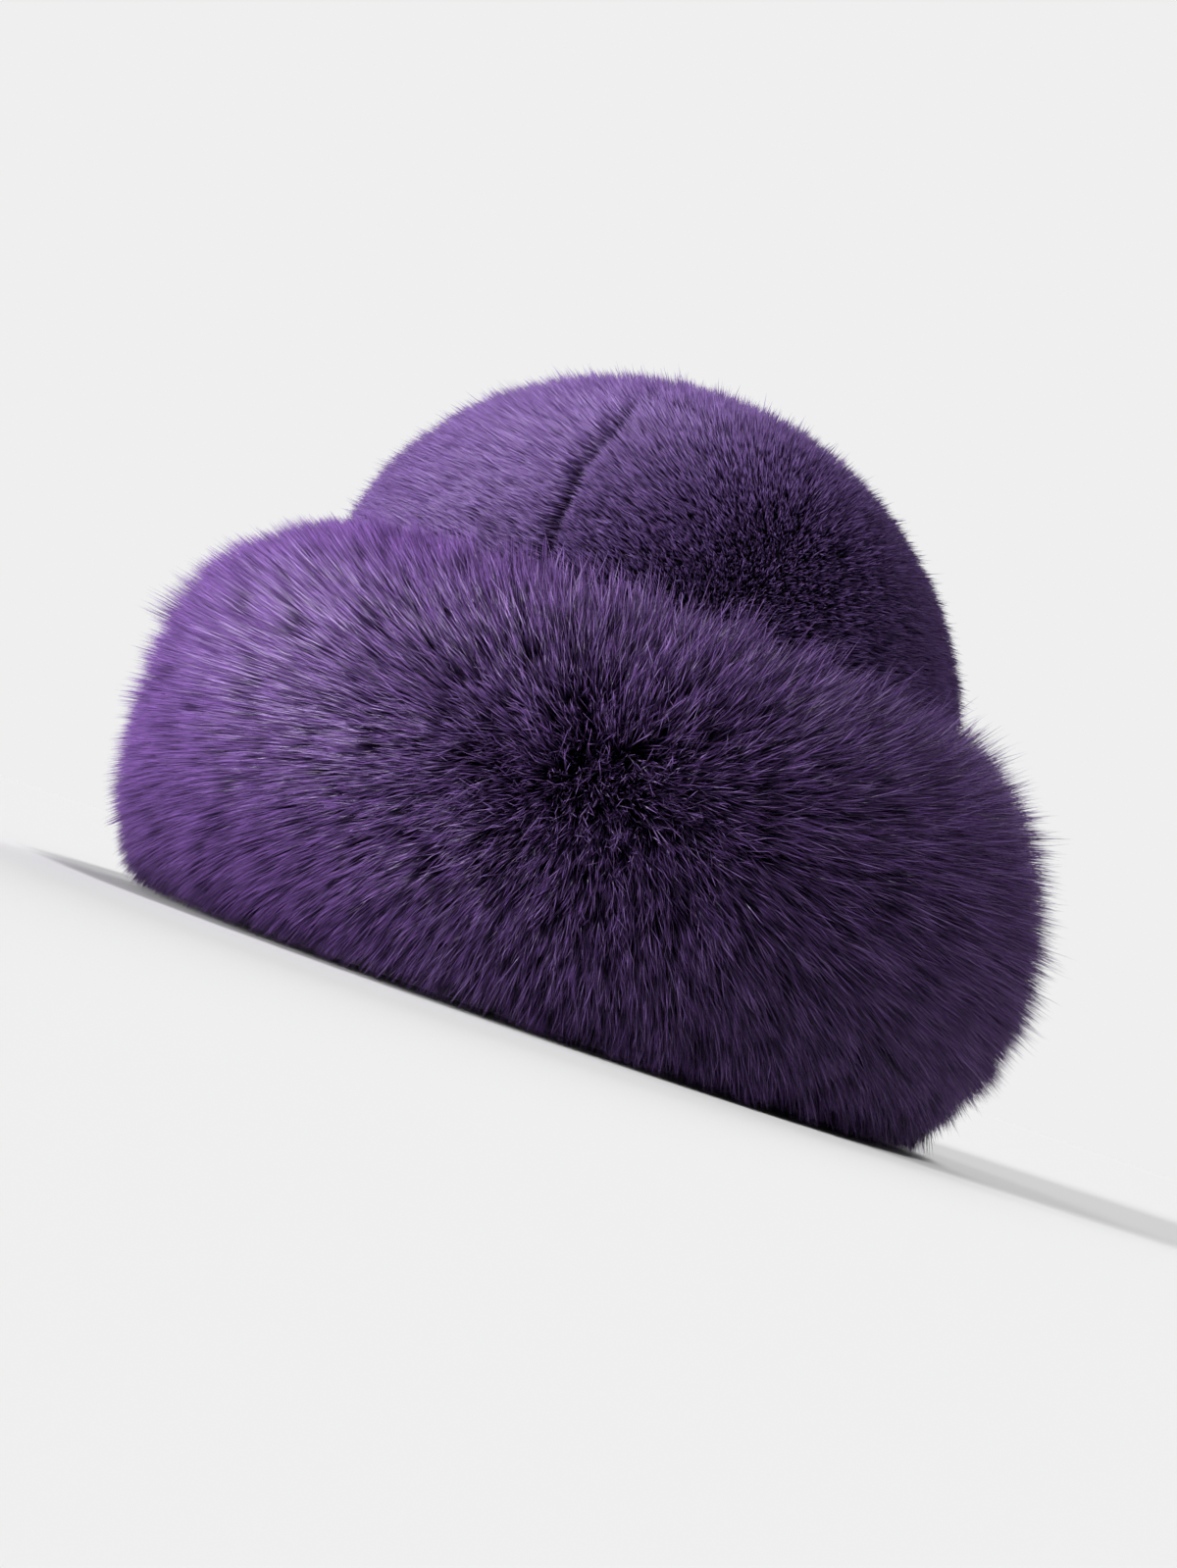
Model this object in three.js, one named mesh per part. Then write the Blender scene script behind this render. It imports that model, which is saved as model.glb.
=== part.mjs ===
// A winter hat of faux fur: a round crown sewn from four gores of short-pile cloth, and a deep flared brim of
// long-pile cloth, faced with the same fur on its under side. The hat stands on the pressed pile of its brim.
// Millimetres, +Z up, front towards -Y. The origin is on the surface that the hat stands on, under the crown.
// Left and right are those of a viewer who faces the front, so right is +X.
import * as THREE from "three";

// Sizes shared by all the pieces
const DEPTH_TO_WIDTH = 1.05; // a head opening is a little longer from front to back than it is wide
const CLOTH = 1.6; // the knitted backing of the fur cloth
const SEWN_GAP = 0.4; // clear space between two pieces that are sewn together
const SEAM_PILE = 1.5; // pile left over a seam, where the fur parts
const SEAM_LEDGE = 3.5; // width of the brim's pile that lies flat under the crown's edge

// The crown's cloth is half an ellipse turned round +Z, from the brim seam up to the apex.
const SEAM_HEIGHT = 105.6;
const CROWN_HALF_WIDTH = 91.5;
const CROWN_RISE = 87.6;
const FIRST_SEAM_DEG = -22; // the seam that shows at the front, a little to the left
const GORE_NAMES = ["crown_gore_front", "crown_gore_right", "crown_gore_back", "crown_gore_left"];
const GORE_DEG = 360 / GORE_NAMES.length;
const GORE_ROWS = 11;
const SEAM_MARGIN = 3; // width of pile on each side that dips into the seam
const PLAIN_GORE_ROWS = 1; // rows that the brim's fur hides, with no locks

// The crown's pile. up: share of the way from the brim seam to the apex. stand: height of the tips above the
// cloth. leftStand: added on the left and taken off on the right. sweep: how far the tips lie down the crown.
// core: share of the height that is filled between the locks.
const CROWN_PILE = [
  { up: 0.0, stand: 2, leftStand: 0, sweep: 0, core: 0.75 },
  { up: 0.09, stand: 13, leftStand: 0, sweep: 0, core: 0.75 },
  { up: 0.2, stand: 14.5, leftStand: 0.5, sweep: 4, core: 0.68 },
  { up: 0.35, stand: 14.5, leftStand: 1.2, sweep: 8, core: 0.66 },
  { up: 0.6, stand: 14, leftStand: 1.5, sweep: 8, core: 0.66 },
  { up: 0.8, stand: 14, leftStand: 1, sweep: 8, core: 0.66 },
  { up: 1.0, stand: 14, leftStand: 0, sweep: 3, core: 0.66 },
];

// The brim's cloth is a cone that flares from the crown down to the rim.
const RIM_RADIUS = 115;
const RIM_HEIGHT = 20;
const BRIM_COLUMNS = 64;
const BRIM_ROWS = 11;
const FLOOR_OUTER_RADIUS = 123.5; // the pressed pile that the hat stands on
const FLOOR_INNER_RADIUS = 114.2;
const BRIM_CORE = 0.78; // share of the pile's length that is filled between the locks

// The brim's outer pile. along: share of the way from the brim seam to the rim. rise: angle of the locks above
// the horizontal, in degrees. length: from the cloth to the tips. The fur is brushed up on the left and down on
// the right, so the last two columns are added on the left and taken off on the right.
const BRIM_PILE = [
  { along: 0.0, rise: 41, length: 25, leftRise: 0, leftLength: 2 },
  { along: 0.1, rise: 29, length: 35.5, leftRise: 2, leftLength: 1 },
  { along: 0.2, rise: 15, length: 45, leftRise: 4, leftLength: 2 },
  { along: 0.35, rise: 0, length: 49, leftRise: 3, leftLength: 0.5 },
  { along: 0.5, rise: -10, length: 46.5, leftRise: 2, leftLength: -1.5 },
  { along: 0.65, rise: -18, length: 42.5, leftRise: 1, leftLength: 0 },
  { along: 0.8, rise: -29, length: 35.5, leftRise: 0, leftLength: 1 },
  { along: 0.9, rise: -41, length: 29, leftRise: 0, leftLength: 1 },
  { along: 1.0, rise: -60, length: 22, leftRise: 0, leftLength: 0 },
];

// The facing's pile hangs down inside the brim. drop: angle of the locks below the horizontal, in degrees.
const FACING_COLUMNS = 48;
const FACING_ROWS = 6;
const FACING_CORE = 0.7;
const FACING_PILE = [
  { along: 0.0, drop: 55, length: 5 },
  { along: 0.15, drop: 60, length: 13 },
  { along: 0.4, drop: 64, length: 20 },
  { along: 0.75, drop: 68, length: 22 },
  { along: 1.0, drop: 87, length: 22 },
];

// How much neighbouring locks differ
const LENGTH_SCATTER = 0.07;
const PLACE_SCATTER = 0.2; // of the space between two locks
const ROW_WAVE = 0.35; // how far a row of locks rises and falls, in spaces between two rows
const WAVES = 5; // rises and falls once round the brim

const rad = THREE.MathUtils.degToRad;

// The values of a table at a given place, worked out evenly between the rows on either side.
function tableRow(table, key, at) {
  let next = table.findIndex((row) => row[key] >= at);
  if (next === -1) next = table.length - 1;
  const before = table[Math.max(next - 1, 0)];
  const after = table[next];
  const span = after[key] - before[key];
  const share = span > 0 ? (at - before[key]) / span : 0;
  const row = {};
  for (const column of Object.keys(before)) row[column] = THREE.MathUtils.lerp(before[column], after[column], share);
  return row;
}

// A repeatable number from -1 to 1 for the lock at this row and column.
function scatter(row, column, use) {
  const wave = Math.sin(row * 127.1 + column * 311.7 + use * 74.7) * 43758.5453;
  return 2 * (wave - Math.floor(wave)) - 1;
}

// The point at this radius, azimuth and height. Azimuth 0 is the front, and 90 degrees is the right.
function place(radius, azimuth, height) {
  return new THREE.Vector3(
    radius * Math.sin(azimuth),
    -radius * Math.cos(azimuth) * DEPTH_TO_WIDTH,
    Math.max(height, 0),
  );
}

// A closed body from points and the triangles that join them.
class Body {
  constructor() {
    this.points = [];
    this.triangles = [];
  }
  point(vector) {
    this.points.push(vector);
    return this.points.length - 1;
  }
  face(...corners) {
    for (let k = 2; k < corners.length; k++) this.triangles.push(corners[0], corners[k - 1], corners[k]);
  }
  lock(tip, ...corners) {
    const top = this.point(tip);
    corners.forEach((corner, k) => this.triangles.push(corner, corners[(k + 1) % corners.length], top));
  }
  mesh(name, material) {
    const geometry = new THREE.BufferGeometry();
    const positions = this.points.flatMap((p) => [p.x, p.y, p.z]);
    geometry.setAttribute("position", new THREE.Float32BufferAttribute(positions, 3));
    geometry.setIndex(this.triangles);
    geometry.computeVertexNormals();
    const made = new THREE.Mesh(geometry, material);
    made.name = name;
    return made;
  }
}

// Crown gores

// The crown at a share of the way up: its cloth's radius and height, its normal and the way down along it.
function crownSection(up) {
  const turn = (up * Math.PI) / 2;
  const normal = new THREE.Vector2(Math.cos(turn) / CROWN_HALF_WIDTH, Math.sin(turn) / CROWN_RISE).normalize();
  return {
    radius: CROWN_HALF_WIDTH * Math.cos(turn),
    height: SEAM_HEIGHT + SEWN_GAP + CROWN_RISE * Math.sin(turn),
    normal,
    down: new THREE.Vector2(normal.y, -normal.x),
  };
}

function crownPoint(up, azimuth, out, sweep = 0) {
  const { radius, height, normal, down } = crownSection(up);
  return place(radius + normal.x * out + down.x * sweep, azimuth, height + normal.y * out + down.y * sweep);
}

// How high the crown's locks stand here.
function crownStand(up, azimuth) {
  const { stand, leftStand } = tableRow(CROWN_PILE, "up", up);
  return stand - leftStand * Math.sin(azimuth);
}

// One gore: rows of triangles that narrow to the apex, each with a lock, a parting along both seams, and the
// bare cloth inside.
function goreBody(startDeg) {
  const body = new Body();
  const [start, end] = [rad(startDeg), rad(startDeg + GORE_DEG)];
  const pile = [];
  const cloth = [];
  const leftEdge = [];
  const rightEdge = [];
  for (let row = 0; row <= GORE_ROWS; row++) {
    const up = row / GORE_ROWS;
    const { core } = tableRow(CROWN_PILE, "up", up);
    const cells = GORE_ROWS - row;
    const margin = cells ? SEAM_MARGIN / crownSection(up).radius : 0;
    const across = (share, inset) => THREE.MathUtils.lerp(start + inset, end - inset, share);
    pile[row] = [];
    cloth[row] = [];
    for (let k = 0; k <= cells; k++) {
      const share = cells ? k / cells : 0.5;
      const azimuth = across(share, margin);
      const out = cells ? crownStand(up, azimuth) * core : SEAM_PILE;
      pile[row].push(body.point(crownPoint(up, azimuth, out)));
      cloth[row].push(body.point(crownPoint(up, across(share, 0), -CLOTH)));
    }
    leftEdge[row] = cells ? body.point(crownPoint(up, start, SEAM_PILE)) : pile[row][0];
    rightEdge[row] = cells ? body.point(crownPoint(up, end, SEAM_PILE)) : pile[row][0];
  }
  const tip = (row, share, upShare) => {
    const up = (row + upShare) / GORE_ROWS;
    const { sweep } = tableRow(CROWN_PILE, "up", up);
    const longer = 1 + LENGTH_SCATTER * scatter(row, share, startDeg);
    const inset = SEAM_MARGIN / crownSection(up).radius;
    const azimuth = THREE.MathUtils.lerp(start + inset, end - inset, share);
    return crownPoint(up, azimuth, crownStand(up, azimuth) * longer, sweep);
  };
  for (let row = 0; row < GORE_ROWS; row++) {
    const cells = GORE_ROWS - row;
    for (let k = 0; k < cells; k++) {
      const upright = [pile[row][k], pile[row][k + 1], pile[row + 1][k]];
      const hasLock = row >= PLAIN_GORE_ROWS;
      if (hasLock) body.lock(tip(row, (k + 1 / 3) / (cells - 1 / 3), 1 / 3), ...upright);
      else body.face(...upright);
      body.face(cloth[row][k], cloth[row + 1][k], cloth[row][k + 1]);
      if (k === cells - 1) continue;
      const inverted = [pile[row][k + 1], pile[row + 1][k + 1], pile[row + 1][k]];
      if (hasLock) body.lock(tip(row, (k + 2 / 3) / (cells - 2 / 3), 2 / 3), ...inverted);
      else body.face(...inverted);
      body.face(cloth[row][k + 1], cloth[row + 1][k], cloth[row + 1][k + 1]);
    }
    const above = row + 1;
    const last = cells;
    const atApex = above === GORE_ROWS;
    // The parting that dips to each seam
    if (atApex) {
      body.face(leftEdge[row], pile[row][0], pile[above][0]);
      body.face(pile[row][last], rightEdge[row], pile[above][0]);
    } else {
      body.face(leftEdge[row], pile[row][0], pile[above][0], leftEdge[above]);
      body.face(pile[row][last], rightEdge[row], rightEdge[above], pile[above][last - 1]);
    }
    // The cut edges of the cloth along both seams
    const innerLast = atApex ? 0 : last - 1;
    body.face(cloth[row][0], leftEdge[row], leftEdge[above], cloth[above][0]);
    body.face(rightEdge[row], cloth[row][last], cloth[above][innerLast], rightEdge[above]);
  }
  // The edge that is sewn to the brim
  body.face(leftEdge[0], cloth[0][0], pile[0][0]);
  for (let k = 0; k < GORE_ROWS; k++) body.face(pile[0][k], cloth[0][k], cloth[0][k + 1], pile[0][k + 1]);
  body.face(pile[0][GORE_ROWS], cloth[0][GORE_ROWS], rightEdge[0]);
  return body;
}

// Brim and facing

// The brim's cloth at a share of the way from the seam to the rim. inwards: distance from its outer face.
const brimSlope = new THREE.Vector2(RIM_RADIUS - CROWN_HALF_WIDTH, RIM_HEIGHT - SEAM_HEIGHT);
const brimNormal = new THREE.Vector2(-brimSlope.y, brimSlope.x).normalize();
function brimCloth(along, inwards) {
  return {
    radius: CROWN_HALF_WIDTH + brimSlope.x * along - brimNormal.x * inwards,
    height: SEAM_HEIGHT + brimSlope.y * along - brimNormal.y * inwards,
  };
}

function brimClothRing(along, inwards, columns) {
  const { radius, height } = brimCloth(along, inwards);
  return (column) => place(radius, (column / columns) * 2 * Math.PI, height);
}

// The pile's end point over the brim's cloth. share: how much of its length is wanted.
function brimPilePoint(along, azimuth, share) {
  const { rise, length, leftRise, leftLength } = tableRow(BRIM_PILE, "along", along);
  const leftness = -Math.sin(azimuth);
  const angle = rad(rise + leftRise * leftness);
  const { radius, height } = brimCloth(along, 0);
  const reach = (length + leftLength * leftness) * share;
  return place(radius + reach * Math.cos(angle), azimuth, height + reach * Math.sin(angle));
}

function facingPilePoint(along, azimuth, share) {
  const { drop, length } = tableRow(FACING_PILE, "along", along);
  const { radius, height } = brimCloth(along, 2 * CLOTH + SEWN_GAP);
  const reach = length * share;
  return place(radius - reach * Math.cos(rad(drop)), azimuth, height - reach * Math.sin(rad(drop)));
}

// A closed ring through several rings of points, in order up the outside and down the inside. A ring is
// { at: the point for a column, shift: the share of a column by which it is turned, tip: the lock's tip for a
// column in the strip up to the next ring, or nothing where that strip is plain }.
function ringBody(rings, columns) {
  const body = new Body();
  const rows = rings.map(({ at, shift = 0 }) =>
    Array.from({ length: columns }, (_, column) => body.point(at(column + shift))),
  );
  rings.forEach(({ tip }, k) => {
    const [low, high] = [rows[k], rows[(k + 1) % rows.length]];
    for (let column = 0; column < columns; column++) {
      const next = (column + 1) % columns;
      const corners = [low[column], low[next], high[next], high[column]];
      if (tip) body.lock(tip(column), ...corners);
      else body.face(...corners);
    }
  });
  return body;
}

// Rings of pile from one end of a table to the other, with locks between them. Alternate rings are turned by
// half a column, so that the locks stand like scales.
function pileRings(rows, columns, core, pilePoint, fromRim) {
  const turn = (column) => (column / columns) * 2 * Math.PI;
  const along = (row, azimuth) => {
    const waved = row % rows ? row + ROW_WAVE * Math.sin(WAVES * azimuth + 2.1 * row) : row;
    return fromRim ? 1 - waved / rows : waved / rows;
  };
  return Array.from({ length: rows + 1 }, (_, row) => {
    const tip = (column) => {
      // The middle of the four corners lies between the turns of the two rows.
      const middle = turn(column + 0.75 + PLACE_SCATTER * scatter(row, column, 1));
      const share = 1 + LENGTH_SCATTER * scatter(row, column, 2);
      return pilePoint(along(row + 0.5, middle), middle, share);
    };
    return {
      at: (column) => pilePoint(along(row, turn(column)), turn(column), core),
      shift: (row % 2) / 2,
      tip: row < rows ? tip : undefined,
    };
  });
}

function brimBody() {
  const columns = BRIM_COLUMNS;
  const floorRing = (radius) => (column) => place(radius, (column / columns) * 2 * Math.PI, 0);
  return ringBody(
    [
      { at: floorRing(FLOOR_INNER_RADIUS) },
      { at: floorRing(FLOOR_OUTER_RADIUS) },
      ...pileRings(BRIM_ROWS, columns, BRIM_CORE, brimPilePoint, true),
      { at: (column) => place(CROWN_HALF_WIDTH + SEAM_LEDGE, (column / columns) * 2 * Math.PI, SEAM_HEIGHT) },
      { at: brimClothRing(0, 0, columns) },
      { at: brimClothRing(0, CLOTH, columns) },
      { at: brimClothRing(0.5, CLOTH, columns) },
      { at: brimClothRing(1, CLOTH, columns) },
    ],
    columns,
  );
}

function facingBody() {
  const columns = FACING_COLUMNS;
  const outside = CLOTH + SEWN_GAP;
  return ringBody(
    [
      { at: brimClothRing(1, outside, columns) },
      { at: brimClothRing(0.5, outside, columns) },
      { at: brimClothRing(0, outside, columns) },
      { at: brimClothRing(0, outside + CLOTH, columns) },
      ...pileRings(FACING_ROWS, columns, FACING_CORE, facingPilePoint, false),
    ],
    columns,
  );
}

// The hat

const crownFur = new THREE.MeshStandardMaterial({ color: 0x5d4380, roughness: 0.85, metalness: 0 });
const brimFur = new THREE.MeshStandardMaterial({ color: 0x553c78, roughness: 0.85, metalness: 0 });
const facingFur = new THREE.MeshStandardMaterial({ color: 0x33234a, roughness: 0.9, metalness: 0 });

const hat = new THREE.Group();

const crown = new THREE.Group();
GORE_NAMES.forEach((name, k) => {
  const start = FIRST_SEAM_DEG + k * GORE_DEG;
  const gore = goreBody(start).mesh(name, crownFur);
  // A step out along the middle of the gore opens both of its seams by the same gap.
  const middle = rad(start + GORE_DEG / 2);
  const step = SEWN_GAP / 2 / Math.sin(rad(GORE_DEG / 2));
  gore.position.set(step * Math.sin(middle), -step * Math.cos(middle), 0);
  crown.add(gore);
});
hat.add(crown);

hat.add(brimBody().mesh("brim", brimFur));
hat.add(facingBody().mesh("brim_facing", facingFur));

export default hat;
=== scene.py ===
import math

import bmesh
import bpy
import numpy as np
from mathutils import Matrix, Vector


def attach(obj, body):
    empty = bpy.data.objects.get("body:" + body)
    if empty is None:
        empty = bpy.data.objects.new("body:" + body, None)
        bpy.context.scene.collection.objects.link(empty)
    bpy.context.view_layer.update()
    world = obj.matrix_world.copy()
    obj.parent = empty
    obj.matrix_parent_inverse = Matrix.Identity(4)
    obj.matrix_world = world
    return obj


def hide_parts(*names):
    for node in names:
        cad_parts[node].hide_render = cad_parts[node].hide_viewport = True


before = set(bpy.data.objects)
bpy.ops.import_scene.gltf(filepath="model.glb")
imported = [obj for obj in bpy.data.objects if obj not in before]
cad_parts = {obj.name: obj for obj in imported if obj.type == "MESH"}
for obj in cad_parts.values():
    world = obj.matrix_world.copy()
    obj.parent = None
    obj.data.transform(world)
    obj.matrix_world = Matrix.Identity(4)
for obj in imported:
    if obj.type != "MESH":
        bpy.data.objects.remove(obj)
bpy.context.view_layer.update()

MM = 0.001  # sizes are written in millimetres and turned to metres

# Crown cloth
# Four gores of fur cloth, sewn edge to edge from the brim's seam to the apex. The cloth is knitted
# polyester with a dense wool of short crimped fibres on its right side. Its wrong side shows inside the
# hat, with the seam allowances turned back on both sides of each seam.
DEPTH_TO_WIDTH = 1.05  # front to back, a head opening is a little longer than it is wide
CLOTH = 1.6 * MM
SEWN_GAP = 0.4 * MM
SEAM_HEIGHT = 105.6 * MM
CROWN_HALF_WIDTH = 91.5 * MM
CROWN_RISE = 87.6 * MM
FIRST_SEAM = math.radians(-22)
GORE_ANGLE = math.radians(90)
GORES = ["crown_gore_front", "crown_gore_right", "crown_gore_back", "crown_gore_left"]
GORE_NARROWING = 0.002  # what a gore loses of its width, so that its edges stay clear of the next ones
SEAM_ALLOWANCE = 5 * MM
ALLOWANCE_THICKNESS = 1.2 * MM
CROWN_WOOL = 6.5 * MM  # height of the wool over the cloth
THIN_WOOL = {"turn": math.radians(12), "share": 0.1}  # over this turn it thins to this share at the brim
WOOL_PARTED = 0.8  # how much of the wool's height is gone at a fully open seam
PARTING = 4 * MM  # how far from a seam the pile starts to part

# How deep the pile parts over each seam, from 0 to 1. The front one shows, and the others are brushed over.
PARTING_DEPTH = [1.0, 0.25, 0.25, 0.25]

# The front seam's parting closes towards the brim and the apex. up: share of the way from brim to apex.
PARTING_OPEN = {
    "up": [0.0, 0.1, 0.2, 0.5, 0.66, 1.0],
    "open": [0.3, 0.7, 1.0, 1.0, 0.25, 0.1],
}


def linear(hex_colour):
    """An sRGB hex colour as linear red, green, blue and alpha."""
    parts = [int(hex_colour[at:at + 2], 16) / 255 for at in (1, 3, 5)]
    return [p / 12.92 if p <= 0.04045 else ((p + 0.055) / 1.055) ** 2.4 for p in parts] + [1.0]


def material(name):
    """A new node material and its Principled shader."""
    made = bpy.data.materials.new(name)
    made.use_nodes = True
    return made, made.node_tree.nodes["Principled BSDF"]


def add_node(owner, kind, settings={}, links={}):
    """Adds a node to a material. Links go from an input's name to another node's output socket."""
    node = owner.node_tree.nodes.new(kind)
    for key, value in settings.items():
        if isinstance(key, str) and hasattr(node, key):
            setattr(node, key, value)
        else:
            node.inputs[key].default_value = value
    for key, socket in links.items():
        owner.node_tree.links.new(socket, node.inputs[key])
    return node


def ramp(owner, factor, stops):
    """A colour ramp through the given positions and hex colours."""
    node = add_node(owner, "ShaderNodeValToRGB", links={"Fac": factor})
    elements = node.color_ramp.elements
    while len(elements) < len(stops):
        elements.new(0.5)
    for element, (at, colour) in zip(elements, stops.items()):
        element.position = at
        element.color = linear(colour)
    return node.outputs["Color"]


def piece_from(bm, name, materials, replaces=None):
    """Writes a bmesh to a new piece that rides on the hat."""
    mesh = bpy.data.meshes.new(name)
    bm.to_mesh(mesh)
    bm.free()
    mesh.shade_smooth()
    return finish_piece(mesh, name, materials, replaces)


def finish_piece(mesh, name, materials, replaces):
    """Adds a mesh to the scene as a piece of the hat."""
    piece = bpy.data.objects.new(name, mesh)
    bpy.context.scene.collection.objects.link(piece)
    for made in materials:
        mesh.materials.append(made)
    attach(piece, "root")
    if replaces:
        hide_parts(replaces)
    return piece


def ring_place(radius, azimuth, height):
    """Points at a radius, azimuth and height. Azimuth 0 is the front and a quarter turn is the right."""
    x = radius * np.sin(azimuth)
    y = -radius * np.cos(azimuth) * DEPTH_TO_WIDTH
    return np.stack(np.broadcast_arrays(x, y, height), axis=-1)


def crown_place(turn, azimuth, out=0.0, sweep=0.0):
    """Points over the crown's cloth. turn goes from 0 at the brim's seam to a quarter turn at the apex.

    out is the height over the cloth, and sweep is how far the point lies down along it."""
    across = np.cos(turn) / CROWN_HALF_WIDTH
    upward = np.sin(turn) / CROWN_RISE
    size = np.hypot(across, upward)
    across, upward = across / size, upward / size
    radius = CROWN_HALF_WIDTH * np.cos(turn) + across * out + upward * sweep
    height = SEAM_HEIGHT + SEWN_GAP + CROWN_RISE * np.sin(turn) + upward * out - across * sweep
    return ring_place(radius, azimuth, height)


def seam_distance(turn, azimuth):
    """The distance to the nearest seam, signed by its side, and how far the pile parts there from 0 to 1."""
    seam = np.round((azimuth - FIRST_SEAM) / GORE_ANGLE)
    aside = (azimuth - FIRST_SEAM - seam * GORE_ANGLE) * CROWN_HALF_WIDTH * np.cos(turn)
    depth = np.array(PARTING_DEPTH)[seam.astype(int) % len(GORES)]
    opened = np.interp(turn / (math.pi / 2), PARTING_OPEN["up"], PARTING_OPEN["open"])
    return aside, depth * opened


KNIT_WALE = 1.5 * MM  # drawn at twice the real spacing, which is too fine to show
WAVE_PERIOD = 0.314  # of the wave texture at a scale of 1, in metres
knit, knit_shader = material("polyester knit backing, machine knitted and dyed")
# The wrong side of the cloth: matt, near black violet, with the fine ribs of its knitting.
knit_place = add_node(knit, "ShaderNodeTexCoord").outputs["Object"]
knit_ribs = add_node(
    knit,
    "ShaderNodeTexWave",
    {"wave_type": "BANDS", "bands_direction": "Z", "Scale": WAVE_PERIOD / KNIT_WALE, "Distortion": 2.0},
    {"Vector": knit_place},
)
knit_cloud = add_node(knit, "ShaderNodeTexNoise", {"Scale": 60.0, "Detail": 5.0}, {"Vector": knit_place})
knit_colour = ramp(knit, knit_cloud.outputs["Fac"], {0.3: "#1B1325", 0.7: "#2B2038"})
knit_bump = add_node(
    knit,
    "ShaderNodeBump",
    {"Strength": 0.6, "Distance": 0.4 * MM},
    {"Height": knit_ribs.outputs["Fac"]},
)
knit.node_tree.links.new(knit_colour, knit_shader.inputs["Base Color"])
knit.node_tree.links.new(knit_bump.outputs["Normal"], knit_shader.inputs["Normal"])
knit_shader.inputs["Roughness"].default_value = 0.9

CRIMP = 1.2 * MM  # size of the tangles of crimped fibre
wool, wool_shader = material("acrylic underwool, crimped and sheared")
# Dense dull fibre between the longer hairs: almost black, because little light reaches it.
wool_place = add_node(wool, "ShaderNodeTexCoord").outputs["Object"]
wool_tangle = add_node(
    wool,
    "ShaderNodeTexNoise",
    {"Scale": 1 / CRIMP, "Detail": 3.0},
    {"Vector": wool_place},
)
wool_colour = ramp(wool, wool_tangle.outputs["Fac"], {0.35: "#07040A", 0.65: "#1C1326"})
wool_bump = add_node(
    wool,
    "ShaderNodeBump",
    {"Strength": 1.0, "Distance": 1.0 * MM},
    {"Height": wool_tangle.outputs["Fac"]},
)
wool.node_tree.links.new(wool_colour, wool_shader.inputs["Base Color"])
wool.node_tree.links.new(wool_bump.outputs["Normal"], wool_shader.inputs["Normal"])
wool_shader.inputs["Roughness"].default_value = 1.0

KNIT_SIDE, WOOL_SIDE = 0, 1
GORE_STEPS = 36
UNIT_WALL = 0.05  # thickness of the wall on a unit sphere that each gore is made from

# Each gore starts as a part of a unit sphere with a wall. Its outer face becomes the wool and its inner
# one the cloth's wrong side.
for number, node in enumerate(GORES):
    bm = bmesh.new()
    arc_start = bmesh.ops.create_vert(bm, co=(0, -1, 0))["vert"]
    bmesh.ops.spin(bm, geom=arc_start, cent=(0, 0, 0), axis=(-1, 0, 0), angle=math.pi / 2, steps=GORE_STEPS)
    bmesh.ops.rotate(bm, verts=bm.verts, matrix=Matrix.Rotation(FIRST_SEAM + number * GORE_ANGLE, 3, "Z"))
    arc = bm.verts[:] + bm.edges[:]
    bmesh.ops.spin(bm, geom=arc, cent=(0, 0, 0), axis=(0, 0, 1), angle=GORE_ANGLE, steps=GORE_STEPS)
    bmesh.ops.remove_doubles(bm, verts=bm.verts, dist=1e-5)
    bmesh.ops.recalc_face_normals(bm, faces=bm.faces)
    if bm.faces[0].normal.dot(bm.faces[0].calc_center_median()) < 0:
        bmesh.ops.reverse_faces(bm, faces=bm.faces)
    bmesh.ops.solidify(bm, geom=bm.faces[:], thickness=UNIT_WALL)
    bm.verts.index_update()
    places = np.array([vert.co for vert in bm.verts])
    turn = np.arcsin(np.clip(places[:, 2], 0, 1))
    azimuth = np.arctan2(places[:, 0], -places[:, 1])
    is_wool = np.linalg.norm(places, axis=1) > 1 - UNIT_WALL / 2
    aside, parted = seam_distance(turn, azimuth)
    near_seam = np.clip(1 - np.abs(aside) / PARTING, 0, 1) * parted
    thinned = np.clip(turn / THIN_WOOL["turn"], THIN_WOOL["share"], 1)
    on_allowance = np.clip(2 - 2 * np.abs(aside) / SEAM_ALLOWANCE, 0, 1)
    wool_out = CROWN_WOOL * thinned * (1 - WOOL_PARTED * near_seam)
    out = np.where(is_wool, wool_out, -CLOTH - on_allowance * ALLOWANCE_THICKNESS)
    middle = FIRST_SEAM + (number + 0.5) * GORE_ANGLE
    from_middle = np.angle(np.exp(1j * (azimuth - middle)))
    azimuth = middle + from_middle * (1 - GORE_NARROWING)
    for vert, place in zip(bm.verts, crown_place(turn, azimuth, out)):
        vert.co = place
    for face in bm.faces:
        inner = not all(is_wool[vert.index] for vert in face.verts)
        face.material_index = KNIT_SIDE if inner else WOOL_SIDE
    piece_from(bm, node + "_cloth", [knit, wool], node)

# Crown pile
# Short straight acrylic hairs, sheared level and brushed down from the apex. They stand 14 mm over the
# cloth, gather in small wisps, and part over the front seam.
CROWN_HAIRS_IN_GORE = 39000
CROWN_HAIR = 0.55 * MM  # width of a drawn hair, which stands for a few real ones
HAIR_THICKNESS = 0.2 * MM  # at its root
HAIR_WIDTHS = (0.6, 1.2)  # of the narrowest and the widest hair, as shares of the usual one
LENGTH_SPREAD = 0.1  # how much the hairs fall short of the pile's full length
SHORTEST, LONGEST = 0.55, 1.02  # as shares of the pile's full length
LOCK_STRAY = 0.6  # how far a lock strays, as a share of a wisp
WISP_IN_SHADE = 0.25  # how much of a hair's shade is its wisp's
WISPS_AT_ONCE = 500  # compared with all locks in one step

# The stray guard hairs that lie over the rest: as long as the pile, paler, and less tied to their wisp.
# Their paler shade is partly their own tone and partly painted highlight.
GUARD = {"share": 0.18, "pull": 0.25, "stray": 3, "length": 1.0, "shade": 0.75}

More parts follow.
